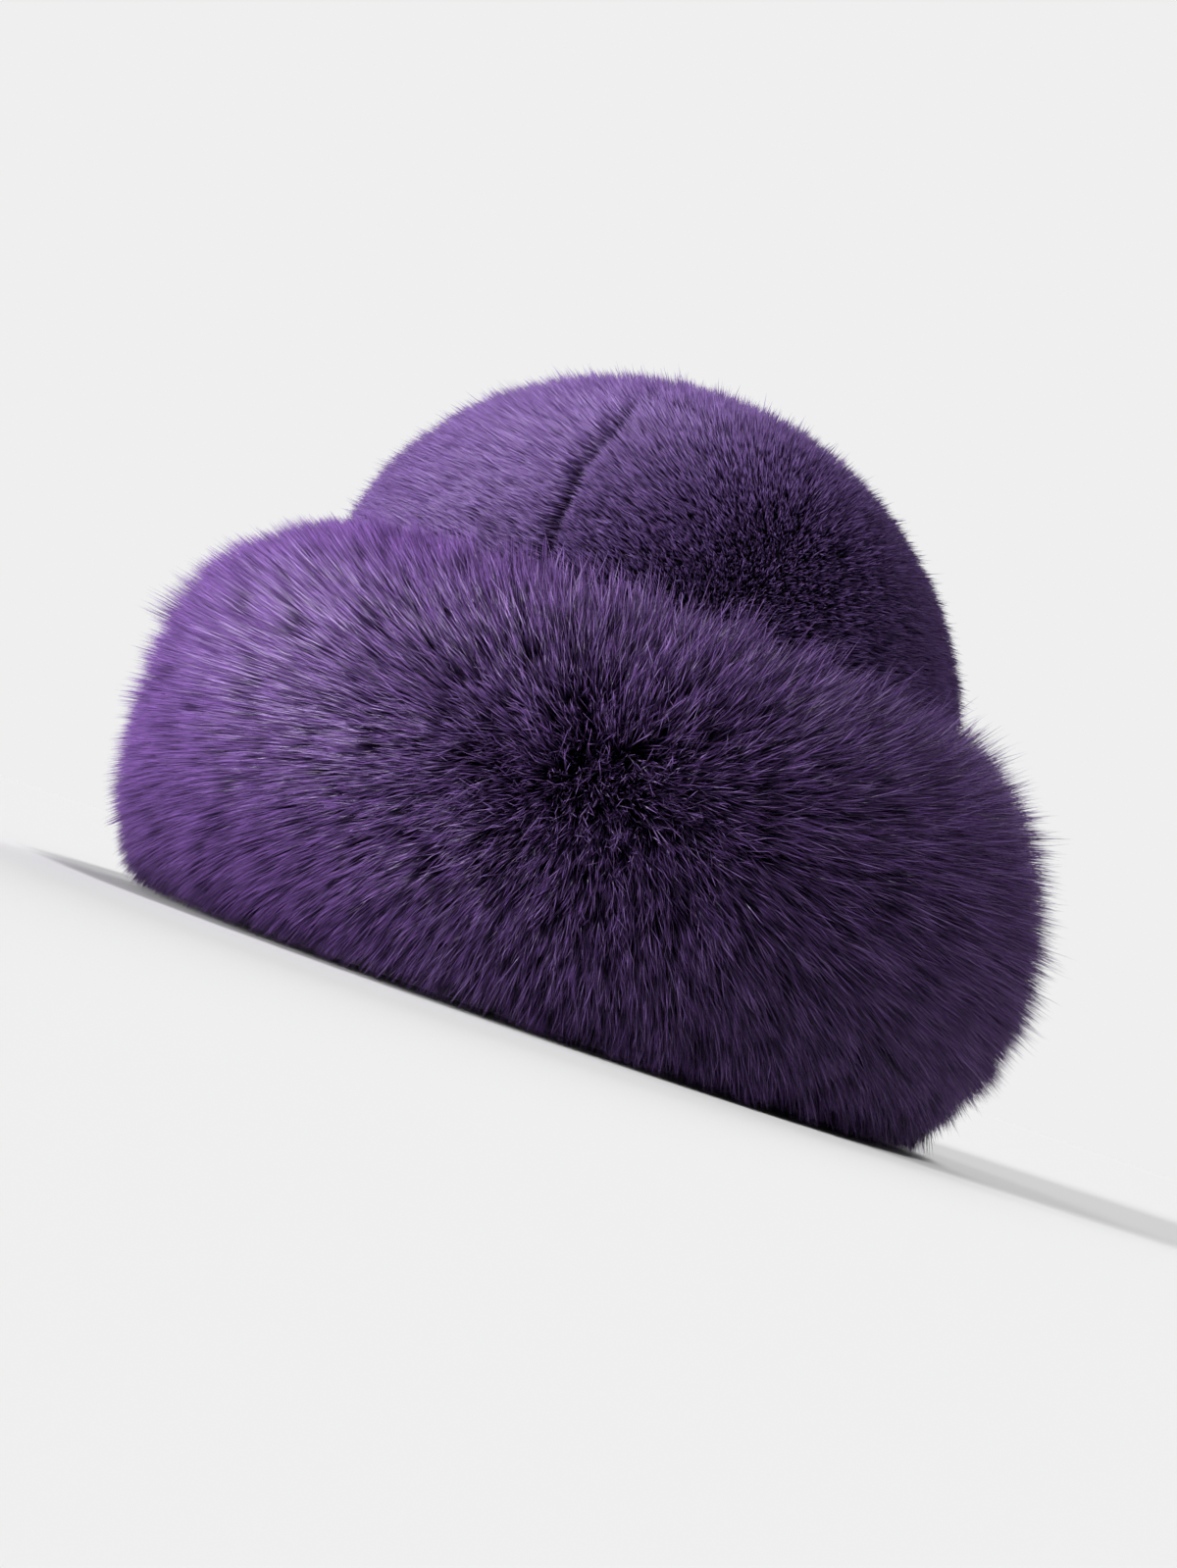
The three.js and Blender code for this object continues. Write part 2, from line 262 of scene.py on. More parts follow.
# What the pile does beside a fully open seam. stray_lost: share of its stray that it loses. lean: how far
# its tips lean away. lower: how much lower it stands, as a share, and groove: how near to the seam. bare:
# how near to it no hair grows.
BESIDE_SEAM = {"stray_lost": 0.75, "lean": 2.0 * MM, "lower": 0.4, "groove": 2 * MM, "bare": 0.3 * MM}

CROWN_STRAY = 0.45 * MM
CROWN_BEND = 0.5  # how far out the hairs bend, as a share of their length
CROWN_START = 0.35  # how far out they are drawn from, because the wool hides their roots
APEX_RADIUS = {"spread": 2 * MM, "swirl": 12 * MM}  # the least radii to work spread and swirl out at
APEX_MARGIN = 0.001  # how near the apex a hair grows, as an angle

# The crown's pile, in millimetres. up: share of the way from the brim's seam to the apex. stand: height
# of the tips over the cloth. left_stand: added on the left and taken off on the right. sweep: how far the
# tips lie down towards the brim. swirl: how far they lie round towards the left.
CROWN_PILE = {
    "up": [0.0, 0.09, 0.2, 0.35, 0.6, 0.8, 1.0],
    "stand": [9, 13, 14.5, 14.5, 14, 14, 14],
    "left_stand": [0, 0.5, 1.5, 2.5, 2.5, 1.5, 0],
    "sweep": [-4, 0, 4, 7, 6.5, 3, 0],
    "swirl": [0, 0, 2, 4, 4, 2, 0],
}


def even_points(count, offset=0.0):
    """Points that fill a square evenly without rows, by the plastic number's additive recurrence."""
    plastic = 1.32471795724
    order = np.arange(1, count + 1)
    return (offset + order / plastic) % 1, (offset + order / plastic**2) % 1


def unit(vectors):
    return vectors / np.maximum(np.linalg.norm(vectors, axis=-1, keepdims=True), 1e-9)


def tufts(rng, cover, place, hairs, wisps, locks, spread, wisp_pull, lock_pull, hair_stray, uneven):
    """Hairs in wisps and locks, as root and tip points, a share of the pile's full length and a shade.

    cover turns points of a square to two surface values, and place turns those values and a share of the
    pile's length to points. Each tip is drawn part of the way to its wisp's, and that one to its lock's."""
    lock_at = cover(*even_points(locks, 0.5))
    wisp_at = cover(*even_points(wisps))
    lock_root, lock_tip = place(*lock_at, 0.0), place(*lock_at, 1.0)
    wisp_root, wisp_tip = place(*wisp_at, 0.0), place(*wisp_at, 1.0)
    nearest = np.empty(wisps, int)
    for block in np.array_split(np.arange(wisps), max(1, wisps // WISPS_AT_ONCE)):
        gaps = wisp_root[block, None, :] - lock_root[None, :, :]
        nearest[block] = np.argmin((gaps**2).sum(axis=-1), axis=1)
    lock_stray = rng.normal(0, LOCK_STRAY, (locks, 3)) * cover.stray(*lock_at)[:, None]
    wisp_stray = rng.normal(0, 1, (wisps, 3)) * cover.stray(*wisp_at)[:, None]
    lock_length = rng.normal(1, uneven, locks)
    drawn = wisp_tip + lock_pull * (lock_tip[nearest] - wisp_tip) + lock_stray[nearest] + wisp_stray
    wisp_length = rng.normal(1, uneven, wisps) * lock_length[nearest]
    drawn = wisp_root + (drawn - wisp_root) * wisp_length[:, None]

    each = np.arange(hairs) % wisps
    reach = spread * np.sqrt(rng.random(hairs))
    heading = rng.random(hairs) * 2 * math.pi
    first, second = (values[each] for values in wisp_at)
    first_scale, second_scale = cover.scales(first, second)
    first = first + reach * np.cos(heading) / first_scale
    second = second + reach * np.sin(heading) / second_scale
    guard = rng.random(hairs) < GUARD["share"]
    share = np.clip(LONGEST - np.abs(rng.normal(0, LENGTH_SPREAD, hairs)), SHORTEST, LONGEST)
    share = np.where(guard, GUARD["length"], share)
    root, tip = place(first, second, 0.0), place(first, second, 1.0)
    pull = wisp_pull * np.where(guard, GUARD["pull"], 1)[:, None]
    stray = (hair_stray * cover.stray(first, second) * np.where(guard, GUARD["stray"], 1))[:, None]
    tip = tip + pull * (wisp_tip[each] - tip) + (drawn - wisp_tip)[each]
    tip = tip + rng.normal(0, 1, (hairs, 3)) * stray
    tip = root + (tip - root) * share[:, None]
    shade = WISP_IN_SHADE * rng.random(wisps)[each] + (1 - WISP_IN_SHADE) * rng.random(hairs)
    # Guard hairs take the palest shades: partly their own tone, partly painted highlight.
    shade = np.where(guard, GUARD["shade"] + (1 - GUARD["shade"]) * shade, GUARD["shade"] * shade)
    return first, second, root, tip, share, shade


NOT_ALONG_A_HAIR = np.array([0.3, 0.5, 0.81])  # any fixed direction, to find one across each hair

# The hairs' map has the shade across and the height in the pile upwards. Each hair is a narrow strip of it.
MAP = {"edge": 0.01, "across": 0.98, "up": 0.93, "half_strip": 0.004}


def hair_mesh(name, rng, root, bend, tip, share, shade, width, start, made):
    """One mesh of slim flat hairs on curves from root to tip, each turned about its own length by chance.

    A hair is drawn as one slim spike, from a share of the way along its curve, start, to its tip. It has a
    front and a back that meet at the tip, so smooth shading lights the tip from the end as well."""
    count = len(root)
    base = (1 - start) ** 2 * root + 2 * start * (1 - start) * bend + start**2 * tip
    along = unit(tip - base)
    aside = unit(np.cross(along, NOT_ALONG_A_HAIR))
    twist = rng.random(count)[:, None] * 2 * math.pi
    across = np.cos(twist) * aside + np.sin(twist) * np.cross(along, aside)
    half = across * (width * rng.uniform(*HAIR_WIDTHS, count))[:, None] / 2
    proud = np.cross(across, along) * HAIR_THICKNESS / 2
    corners = [base - half + proud, base + half + proud, base + half - proud, base - half - proud, tip]
    points = np.stack(corners, axis=1)
    faces = np.array([0, 1, 4, 2, 3, 4])
    loops = (np.arange(count)[:, None] * len(corners) + faces).ravel()

    mesh = bpy.data.meshes.new(name)
    mesh.vertices.add(count * len(corners))
    mesh.vertices.foreach_set("co", points.ravel())
    mesh.loops.add(len(loops))
    mesh.loops.foreach_set("vertex_index", loops)
    mesh.polygons.add(count * 2)
    mesh.polygons.foreach_set("loop_start", np.arange(count * 2) * 3)
    mesh.update(calc_edges=True)
    strip = MAP["half_strip"] * np.array([-1, 1, 0, 1, -1, 0])
    sideways = MAP["edge"] + MAP["across"] * shade[:, None] + strip
    upwards = MAP["edge"] + MAP["up"] * share[:, None] * np.array([start, start, 1] * 2)
    chart = mesh.uv_layers.new(name="OFBake")
    chart.data.foreach_set("uv", np.stack([sideways, upwards], axis=-1).ravel())
    mesh.shade_smooth()
    return finish_piece(mesh, name, [made], None)


COLOUR_A, COLOUR_B, COLOUR_RESULT = 6, 7, 2  # the mix node's colour sockets, which share their names


def fur_material(name, stops, tones_and_glints, roughness):
    """Dyed acrylic hair. Its colour darkens from the tips towards the roots, painted shade deep in the pile.

    stops are its colours from root to tip. The second ramp is what a darker or paler hair multiplies them by:
    a hair's own tone, and at its palest end, for the guard hairs, partly painted highlight."""
    made, shader = material(name)
    chart = add_node(made, "ShaderNodeUVMap", {"uv_map": "OFBake"})
    parts = add_node(made, "ShaderNodeSeparateXYZ", links={"Vector": chart.outputs["UV"]})
    colour = ramp(made, parts.outputs["Y"], stops)
    shade = ramp(made, parts.outputs["X"], tones_and_glints)
    shaded = add_node(
        made,
        "ShaderNodeMix",
        {"data_type": "RGBA", "blend_type": "MULTIPLY", "Factor": 1.0},
    )
    made.node_tree.links.new(colour, shaded.inputs[COLOUR_A])
    made.node_tree.links.new(shade, shaded.inputs[COLOUR_B])
    made.node_tree.links.new(shaded.outputs[COLOUR_RESULT], shader.inputs["Base Color"])
    shader.inputs["Roughness"].default_value = roughness
    shader.inputs["Specular IOR Level"].default_value = 0.4
    shader.inputs["Specular Tint"].default_value = linear("#D4C6EA")
    return made


# Violet fur whose colour darkens towards the roots: painted shade deep in the pile.
crown_fur = fur_material(
    "acrylic fur, short pile, dyed violet and sheared",
    {0.0: "#1C1921", 0.45: "#40354B", 0.65: "#6E5C88", 0.85: "#957FB4", 1.0: "#AE9BCC"},
    {0.0: "#AC96B5", 0.75: "#BCA2C6", 1.0: "#DCCFE6"},
    0.45,
)


class GoreCover:
    """Spreads points over one gore: evenly by area from the brim's seam to the apex."""

    def __init__(self, number):
        self.start = FIRST_SEAM + number * GORE_ANGLE

    def __call__(self, upward, across):
        return np.arcsin(upward), self.start + across * GORE_ANGLE

    def scales(self, turn, azimuth):
        return CROWN_HALF_WIDTH, np.maximum(CROWN_HALF_WIDTH * np.cos(turn), APEX_RADIUS["spread"])

    def stray(self, turn, azimuth):
        aside, parted = seam_distance(turn, azimuth)
        return CROWN_STRAY * (1 - BESIDE_SEAM["stray_lost"] * parted * np.exp(-np.abs(aside) / PARTING))


def crown_hair_place(turn, azimuth, share):
    """Points in the crown's pile, at a share of its length from the cloth."""
    turn = np.clip(turn, 0, math.pi / 2 - APEX_MARGIN)
    up = turn / (math.pi / 2)
    stand, left_stand, sweep, swirl = (
        np.interp(up, CROWN_PILE["up"], CROWN_PILE[column]) * MM
        for column in ("stand", "left_stand", "sweep", "swirl")
    )
    stand = stand - left_stand * np.sin(azimuth)
    aside, parted = seam_distance(turn, azimuth)
    lean = np.sign(aside) * parted * BESIDE_SEAM["lean"] * np.exp(-np.abs(aside) / PARTING)
    radius = np.maximum(CROWN_HALF_WIDTH * np.cos(turn), APEX_RADIUS["swirl"])
    azimuth = azimuth + share * (lean - swirl) / radius
    held = 1 - BESIDE_SEAM["lower"] * parted * np.exp(-((aside / BESIDE_SEAM["groove"]) ** 2))
    return crown_place(turn, azimuth, stand * share * held, sweep * share)


for number, node in enumerate(GORES):
    rng = np.random.default_rng(100 + number)
    turn, azimuth, root, tip, share, shade = tufts(
        rng,
        GoreCover(number),
        crown_hair_place,
        hairs=CROWN_HAIRS_IN_GORE,
        wisps=9000,
        locks=400,
        spread=1.2 * MM,
        wisp_pull=0.2,
        lock_pull=0.05,
        hair_stray=1.0,
        uneven=0.02,
    )
    start = FIRST_SEAM + number * GORE_ANGLE
    aside, parted = seam_distance(turn, azimuth)
    in_gore = (azimuth > start) & (azimuth < start + GORE_ANGLE) & (turn > 0) & (turn < math.pi / 2)
    kept = in_gore & (np.abs(aside) > BESIDE_SEAM["bare"] * parted)
    length = np.linalg.norm(tip - root, axis=1)[:, None]
    outward = unit(crown_place(turn, azimuth, 1 * MM) - crown_place(turn, azimuth, 0.0))
    bend = root + outward * length * CROWN_BEND
    hair_mesh(
        node + "_pile",
        rng,
        root[kept],
        bend[kept],
        tip[kept],
        share[kept],
        shade[kept],
        width=CROWN_HAIR,
        start=CROWN_START,
        made=crown_fur,
    )

# Brim cloth
# One deep band of the same fur cloth that flares from the crown's edge down to the rim. In section it is
# the knitted cloth with a thick body of underwool on it, pressed flat along the floor under the rim.
RIM_RADIUS = 115 * MM
RIM_HEIGHT = 20 * MM
FLOOR_OUTER = 117.5 * MM  # radii of the underwool's flat foot
FLOOR_INNER = 114.5 * MM
WOOL_OVER_FLOOR = 2 * MM  # the pressed hairs under the foot are this thick
BRIM_WOOL = {"along": [0.0, 0.8, 1.0], "share": [0.5, 0.5, 0.2]}  # its share of the pile's length
BRIM_STEPS = 128
WOOL_ROWS = 16

# The brim's pile. along: share of the way from the crown's edge to the rim, past 1 where it turns under.
# rise: angle above the horizontal in degrees. length: in millimetres. left_rise and left_length: added on
# the left and taken off on the right, because the fur is brushed up on the left.
BRIM_PILE = {
    "along": [0.0, 0.1, 0.2, 0.35, 0.5, 0.65, 0.8, 0.9, 1.0, 1.06],
    "rise": [48, 30, 15, 0, -10, -18, -29, -41, -60, -88],
    "length": [25, 35.5, 45, 48.3, 45.5, 41.7, 35, 29, 22, 19.5],
    "left_rise": [0, 2, 4, 3, 2, 1, 0, 0, 0, 0],
    "left_length": [2, 1, 2, 0.8, -0.8, 0.2, 1, 1, 0, 0],
}
BRIM_END = BRIM_PILE["along"][-1]

# The pile parts round the middle of the front, where the hairs stand straight out. To both sides of it
# the tips sweep round the hat. The sweep grows over the first angle, and fades out at the back.
SIDE_SWEEP = 13 * MM
SIDE_SWEEP_FROM = math.radians(32)
SWEEP_POWER = 1.5  # above 1, a hair starts out straight and sweeps round towards its tip


def brim_row(column, along):
    return np.interp(along, BRIM_PILE["along"], BRIM_PILE[column])


def brim_cloth(along, inwards=0.0):
    """Radius and height of the brim's cloth, at a distance inwards from its outer face."""
    run, drop = RIM_RADIUS - CROWN_HALF_WIDTH, SEAM_HEIGHT - RIM_HEIGHT
    size = math.hypot(run, drop)
    along = np.clip(along, 0, 1)
    return (
        CROWN_HALF_WIDTH + run * along - drop / size * inwards,
        SEAM_HEIGHT - drop * along - run / size * inwards,
    )


def brim_place(along, azimuth, share, fall=1.0):
    """Points in the brim's pile, at a share of its length from the cloth. fall: share of its rise or drop."""
    along = np.clip(along, 0, BRIM_END)
    leftness = -np.sin(azimuth)
    rise = np.radians(brim_row("rise", along) + brim_row("left_rise", along) * leftness) * fall
    reach = (brim_row("length", along) + brim_row("left_length", along) * leftness) * share * MM
    radius, height = brim_cloth(along)
    radius, height = radius + reach * np.cos(rise), height + reach * np.sin(rise)
    sweep = SIDE_SWEEP * np.tanh(azimuth / SIDE_SWEEP_FROM) * np.cos(azimuth / 2) ** 2
    return ring_place(radius, azimuth + share**SWEEP_POWER * sweep / radius, height)


def ring_shell(name, section, materials, replaces):
    """Spins a closed section, given as radius and height, round the hat."""
    bm = bmesh.new()
    verts = [bm.verts.new((0, -radius, height)) for radius, height in section]
    for first, second in zip(verts, verts[1:] + verts[:1]):
        bm.edges.new((first, second))
    outline = bm.verts[:] + bm.edges[:]
    bmesh.ops.spin(
        bm,
        geom=outline,
        cent=(0, 0, 0),
        axis=(0, 0, 1),
        angle=2 * math.pi,
        steps=BRIM_STEPS,
        use_merge=True,
    )
    bmesh.ops.scale(bm, verts=bm.verts, vec=(1, DEPTH_TO_WIDTH, 1))
    bmesh.ops.recalc_face_normals(bm, faces=bm.faces)
    return piece_from(bm, name, materials, replaces)


WOOL_AT_CROWN = 2 * MM  # thickness of the underwool at the crown's edge
brim_section = [(FLOOR_INNER, WOOL_OVER_FLOOR), (FLOOR_OUTER, WOOL_OVER_FLOOR)]
for along in np.linspace(1.0, 0.0, WOOL_ROWS):
    in_front = brim_place(along, 0.0, np.interp(along, BRIM_WOOL["along"], BRIM_WOOL["share"]))
    brim_section.append((-in_front[1] / DEPTH_TO_WIDTH, in_front[2]))
brim_section.append((CROWN_HALF_WIDTH + WOOL_AT_CROWN, SEAM_HEIGHT))
brim_section += [brim_cloth(along, CLOTH) for along in (0.0, 0.5, 1.0)]
ring_shell("brim_cloth", brim_section, [wool], "brim")

# Brim pile
# Long acrylic hairs, up to 48 mm, that stand out from the brim like a ruff: upwards against the crown,
# level round the middle and down over the rim. They gather in small wisps, and their colour darkens
# towards the roots as painted shade of the deep pile.
BRIM_HAIRS = 290000
BRIM_WISPS = 36000
BRIM_HAIR = 0.52 * MM
BRIM_START = 0.5  # how far out the hairs are drawn from, because the wool hides their roots
TOP_CROWDING = 1.2  # above 1, more of the hairs grow near the crown
FLOOR_CLEARANCE = 0.4 * MM
FLOOR_SLIDE = 0.7  # how far a hair slides out for each millimetre that it would sink below the floor

# Where the hairs bend. share: how far out. fall and combed_fall: how much of their rise or drop they have
# there, where they are ruffled and where they are combed. wisp_stray and hair_stray: how far a wisp's
# bend strays, and a hair's in it. combed_calm: how much of that the combing takes away.
BRIM_BEND = {
    "share": 0.6,
    "fall": 0.35,
    "combed_fall": 1.35,
    "wisp_stray": 2.2 * MM,
    "hair_stray": 1.2 * MM,
    "combed_calm": 0.5,
}

# In front the hairs are ruffled and turn up and down at their tips. Round the sides and the back the
# upper ones are combed outwards, so that they rise first and their tips lie level. The combing is least
# at an azimuth, and grows from there with its cosine.
COMBING = {"least_at": 0.2, "level": 1.3, "change": 1.6}
COMBED_DOWN_TO = [0.2, 0.35]  # the share of the way down where the combing fades
COMBED_STRAY = 0.42  # how much combed wisps stray, as a share of ruffled ones
RUFFLE = {"along": [0.0, 0.25, 0.55, 0.8], "stray": [2.5, 2.3, 2.0, 1.2]}  # in millimetres

# On the left the fur is brushed smooth, so that its hairs lie side by side. Their shades are also drawn
# together there, a painted even sheen of the lit side. azimuth: in degrees. smooth: how much of their stray
# and their bends is brushed out, and how much of their differences in shade is evened. shade: what their
# shades are drawn to.
SMOOTH_SIDE = {"azimuth": [-160, -120, -45, -12], "smooth": [0.0, 0.7, 0.7, 0.0], "shade": 0.55}


def combed(azimuth):
    """How far the pile is combed, from 0 in front to 1 at the sides and the back."""
    turned = np.cos(azimuth - COMBING["least_at"])
    return np.clip(COMBING["level"] - COMBING["change"] * turned, 0, 1)


def smoothed(azimuth):
    return np.interp(np.degrees(azimuth), SMOOTH_SIDE["azimuth"], SMOOTH_SIDE["smooth"])


# Violet fur whose colour darkens towards the roots: painted shade deep in the pile.
brim_fur = fur_material(
    "acrylic fur, long pile, dyed violet and brushed",
    {0.0: "#141015", 0.5: "#261E2A", 0.75: "#544269", 0.9: "#AE8ED0", 1.0: "#EAD2FF"},
    {0.0: "#5A4A61", 0.75: "#C6ABD4", 1.0: "#FFFFFF"},
    0.34,
)


class BrimCover:
    """Spreads points over the whole brim, evenly by area but closer towards the crown."""

    def __call__(self, upward, across):
        grow = RIM_RADIUS / CROWN_HALF_WIDTH
        along = (np.sqrt(1 + upward**TOP_CROWDING * (grow**2 - 1)) - 1) / (grow - 1)
        return along * BRIM_END, across * 2 * math.pi - math.pi

    def scales(self, along, azimuth):
        return math.hypot(RIM_RADIUS - CROWN_HALF_WIDTH, SEAM_HEIGHT - RIM_HEIGHT), brim_cloth(along)[0]

    def stray(self, along, azimuth):
        ruffled = np.interp(along, RUFFLE["along"], RUFFLE["stray"]) * MM
        return ruffled * (1 - (1 - COMBED_STRAY) * combed(azimuth)) * (1 - smoothed(azimuth))


def above_floor(points):
    """Hairs that would reach below the floor bend along it."""
    sunk = np.maximum(FLOOR_CLEARANCE - points[:, 2], 0)
    out = points * np.array([1, 1, 0])
    points = points + unit(out) * sunk[:, None] * FLOOR_SLIDE
    points[:, 2] = np.maximum(points[:, 2], FLOOR_CLEARANCE)
    return points


rng = np.random.default_rng(200)
along, azimuth, root, tip, share, shade = tufts(
    rng,
    BrimCover(),
    brim_place,
    hairs=BRIM_HAIRS,
    wisps=BRIM_WISPS,
    locks=1800,
    spread=1.4 * MM,
    wisp_pull=0.6,
    lock_pull=0.07,
    hair_stray=0.55,
    uneven=0.03,
)
# Painted even sheen of the lit left side: the hairs' shades are drawn together there.
shade = shade + smoothed(azimuth) * (SMOOTH_SIDE["shade"] - shade)
combing = combed(azimuth) * np.interp(along, COMBED_DOWN_TO, [1, 0])
fall = BRIM_BEND["fall"] + combing * (BRIM_BEND["combed_fall"] - BRIM_BEND["fall"])
bend = brim_place(along, azimuth, BRIM_BEND["share"] * share, fall)
wisp_bend = rng.normal(0, BRIM_BEND["wisp_stray"], (BRIM_WISPS, 3))[np.arange(BRIM_HAIRS) % BRIM_WISPS]
hair_bend = rng.normal(0, BRIM_BEND["hair_stray"], root.shape)
calm = (1 - BRIM_BEND["combed_calm"] * combing) * (1 - smoothed(azimuth))
bend = bend + (wisp_bend + hair_bend) * calm[:, None]
tip, bend = above_floor(tip), above_floor(bend)
quarter = np.floor((azimuth + math.pi / 4) / (math.pi / 2)).astype(int) % 4
for number, side in enumerate(["front", "right", "back", "left"]):
    here = quarter == number
    hair_mesh(
        f"brim_pile_{side}",
        rng,
        root[here],
        bend[here],
        tip[here],
        share[here],
        shade[here],
        width=BRIM_HAIR,
        start=BRIM_START,
        made=brim_fur,
    )

# Brim facing
# The under side of the brim: the same cloth, turned in at the rim and sewn to the crown's edge. Its pile is
# brushed down towards the rim, and it lies close to the cloth where the head goes in.
FACING_PILE = {
    "along": [0.0, 0.15, 0.4, 0.75, 1.0],
    "drop": [55, 60, 64, 68, 87],
    "length": [5, 13, 20, 22, 21],
}
FACING_WOOL_SHARE = 0.35  # of the pile's length
FACING_HAIRS = 28000
FACING_HAIR = 0.9 * MM
FACING_START = 0.25
FACING_STRAY = 1.2 * MM
FACING_BEND = {"share": 0.4, "inwards": 0.12}  # how far along the hairs bend, and how far towards the head
FACING_OUTSIDE = CLOTH + SEWN_GAP


def facing_place(along, azimuth, share):
    """Points in the facing's pile, at a share of its length from the cloth."""
    along = np.clip(along, 0, 1)
    drop = np.radians(np.interp(along, FACING_PILE["along"], FACING_PILE["drop"]))
    reach = np.interp(along, FACING_PILE["along"], FACING_PILE["length"]) * share * MM
    radius, height = brim_cloth(along, FACING_OUTSIDE + CLOTH)
    return ring_place(radius - reach * np.cos(drop), azimuth, height - reach * np.sin(drop))


facing_section = [brim_cloth(along, FACING_OUTSIDE) for along in (1.0, 0.5, 0.0)]
for along in np.linspace(0, 1, WOOL_ROWS):
    in_front = facing_place(along, 0.0, FACING_WOOL_SHARE)
    facing_section.append((-in_front[1] / DEPTH_TO_WIDTH, in_front[2]))
ring_shell("brim_facing_cloth", facing_section, [wool], "brim_facing")


class FacingCover:
    """Spreads points over the facing."""

    def __call__(self, upward, across):
        return upward, across * 2 * math.pi - math.pi

    def scales(self, along, azimuth):
        return BrimCover().scales(along, azimuth)

    def stray(self, along, azimuth):
        return np.full(along.shape, FACING_STRAY)


# Violet fur whose colour darkens towards the roots: painted shade deep in the pile.
facing_fur = fur_material(
    "acrylic fur, facing pile, dyed violet and brushed down",
    {0.0: "#0E0A12", 0.45: "#1F1A26", 0.7: "#453C5D", 0.9: "#716393", 1.0: "#9A8BBE"},
    {0.0: "#6E5C75", 0.75: "#CDAFD8", 1.0: "#FFFFFF"},
    0.5,
)
rng = np.random.default_rng(300)
along, azimuth, root, tip, share, shade = tufts(
    rng,
    FacingCover(),
    facing_place,
    hairs=FACING_HAIRS,
    wisps=8000,
    locks=600,
    spread=1.8 * MM,
    wisp_pull=0.4,
    lock_pull=0.15,
    hair_stray=0.5,
    uneven=0.05,
)
inward = -unit(root * np.array([1, 1, 0]))
length = np.linalg.norm(tip - root, axis=1)[:, None]
bend = root + FACING_BEND["share"] * (tip - root) + inward * length * FACING_BEND["inwards"]
tip, bend = above_floor(tip), above_floor(bend)
hair_mesh(
    "brim_facing_pile",
    rng,
    root,
    bend,
    tip,
    share,
    shade,
    width=FACING_HAIR,
    start=FACING_START,
    made=facing_fur,
)

# Studio
# A wide pale paper floor that runs on to a pale background. A soft low key light stands at the left, three
# weaker ones shine from above, and a dim even sky fills the shadows.
PAPER_HALF_SIDE = 40.0
BACKGROUND_TONE = "#EFEFEF"  # what the background is in the photo
PAPER_TONE = "#E6E6E6"  # with the lights below, the lit floor is as pale as the background

paper, paper_shader = material("matt paper, coated")
# Machine made white paper, coated and rolled flat, without gloss.
paper_shader.inputs["Base Color"].default_value = linear(PAPER_TONE)
paper_shader.inputs["Roughness"].default_value = 1.0
paper_shader.inputs["Specular IOR Level"].default_value = 0.0
bm = bmesh.new()
bmesh.ops.create_grid(bm, x_segments=1, y_segments=1, size=PAPER_HALF_SIDE)
paper_mesh = bpy.data.meshes.new("paper_floor")
bm.to_mesh(paper_mesh)
bm.free()
paper_mesh.materials.append(paper)
floor = bpy.data.objects.new("paper_floor", paper_mesh)
bpy.context.scene.collection.objects.link(floor)

# The background looks as pale as the lit floor, and its light on the hat is weaker.
SKY_STRENGTH = 0.14
world = bpy.data.worlds.new("studio")
bpy.context.scene.world = world
world.use_nodes = True
sky = world.node_tree.nodes["Background"]
seen = world.node_tree.nodes.new("ShaderNodeLightPath")
sky_level = world.node_tree.nodes.new("ShaderNodeMapRange")
sky_level.inputs["To Min"].default_value = SKY_STRENGTH
sky_level.inputs["To Max"].default_value = linear(BACKGROUND_TONE)[0]
world.node_tree.links.new(seen.outputs["Is Camera Ray"], sky_level.inputs["Value"])
world.node_tree.links.new(sky_level.outputs["Result"], sky.inputs["Strength"])
sky.inputs["Color"].default_value = (1, 1, 1, 1)

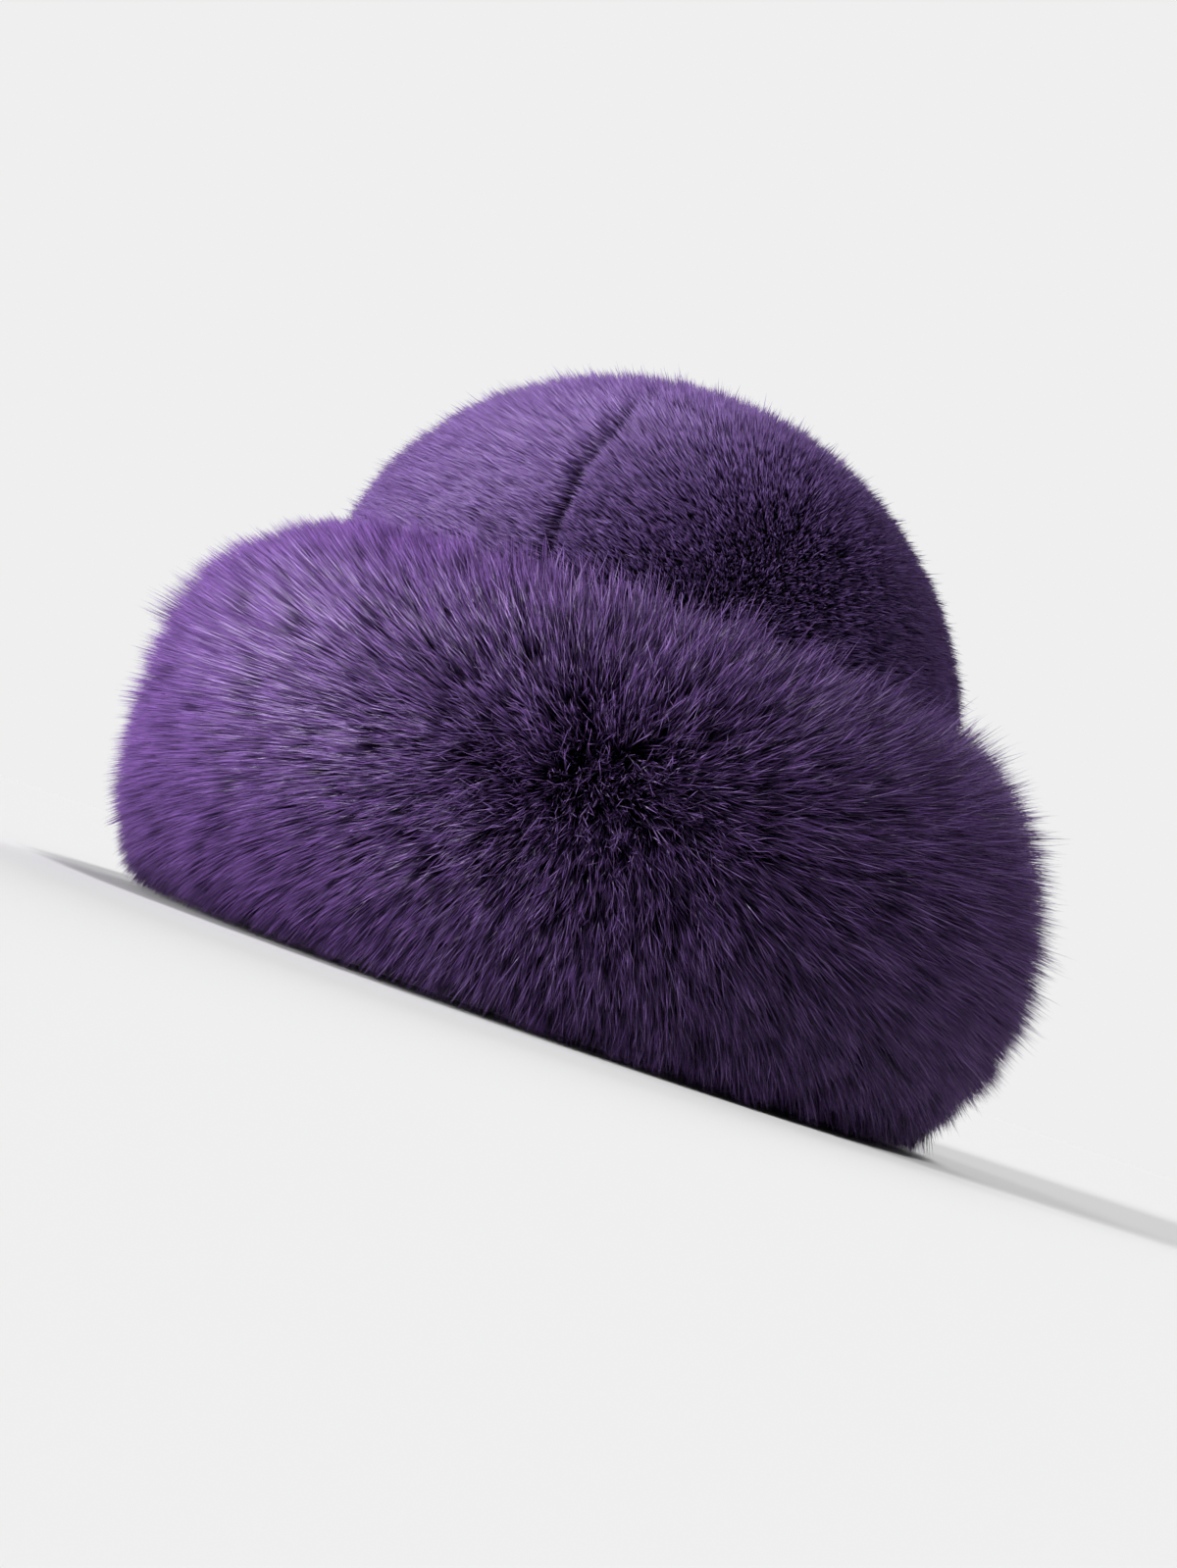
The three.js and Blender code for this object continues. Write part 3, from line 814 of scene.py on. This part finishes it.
# azimuth and elevation: of the light as seen from the hat, in degrees. softness: its own width, in degrees.
LIGHTS = {
    "name": ["key", "top", "back", "fill"],
    "azimuth": [-55, -95, 165, 25],
    "elevation": [8, 55, 35, 60],
    "strength": [6.3, 0.3, 1.0, 1.5],
    "softness": [20, 20, 30, 10],
}
for name, azimuth, elevation, strength, softness in zip(*LIGHTS.values()):
    light = bpy.data.lights.new(name, "SUN")
    light.energy = strength
    light.angle = math.radians(softness)
    lamp = bpy.data.objects.new(name, light)
    azimuth, elevation = math.radians(azimuth), math.radians(elevation)
    towards = Vector(
        (
            math.sin(azimuth) * math.cos(elevation),
            -math.cos(azimuth) * math.cos(elevation),
            math.sin(elevation),
        )
    )
    lamp.rotation_euler = towards.to_track_quat("Z", "Y").to_euler()
    bpy.context.scene.collection.objects.link(lamp)

# The camera keeps the photo's scale of millimetres to the pixel where the hat stands. It looks up a
# little, and the rim is low in its frame, so it stands just over the floor.
FRAME_PIXELS = (1200, 1599)
SCALE = 0.309 * MM  # size of a pixel at the hat
CAMERA_DISTANCE = 0.78
CAMERA_ELEVATION = math.radians(-4.2)
HAT_ROLL = math.radians(19)
HAT_PIXEL = (537, 1027)  # where the middle of the rim's plane is in the frame
RIM_MIDDLE_HEIGHT = 4 * MM
SENSOR = 36.0

camera_data = bpy.data.cameras.new("camera")
camera_data.sensor_width = SENSOR
camera_data.lens = SENSOR * CAMERA_DISTANCE / (FRAME_PIXELS[1] * SCALE)
camera_data.clip_start = 0.01
camera = bpy.data.objects.new("camera", camera_data)
away = Vector((0, -math.cos(CAMERA_ELEVATION), math.sin(CAMERA_ELEVATION)))
level = away.to_track_quat("Z", "Y").to_matrix()
turned = level @ Matrix.Rotation(HAT_ROLL, 3, "Z")
frame_right, frame_up = turned.col[0], turned.col[1]
to_right = (FRAME_PIXELS[0] / 2 - HAT_PIXEL[0]) * SCALE
to_top = (HAT_PIXEL[1] - FRAME_PIXELS[1] / 2) * SCALE
rim_middle = Vector((0, 0, RIM_MIDDLE_HEIGHT))
camera.matrix_world = Matrix.Translation(
    rim_middle + frame_right * to_right + frame_up * to_top + away * CAMERA_DISTANCE
) @ turned.to_4x4()
bpy.context.scene.collection.objects.link(camera)
bpy.context.scene.camera = camera
bpy.context.scene.view_settings.view_transform = "Standard"
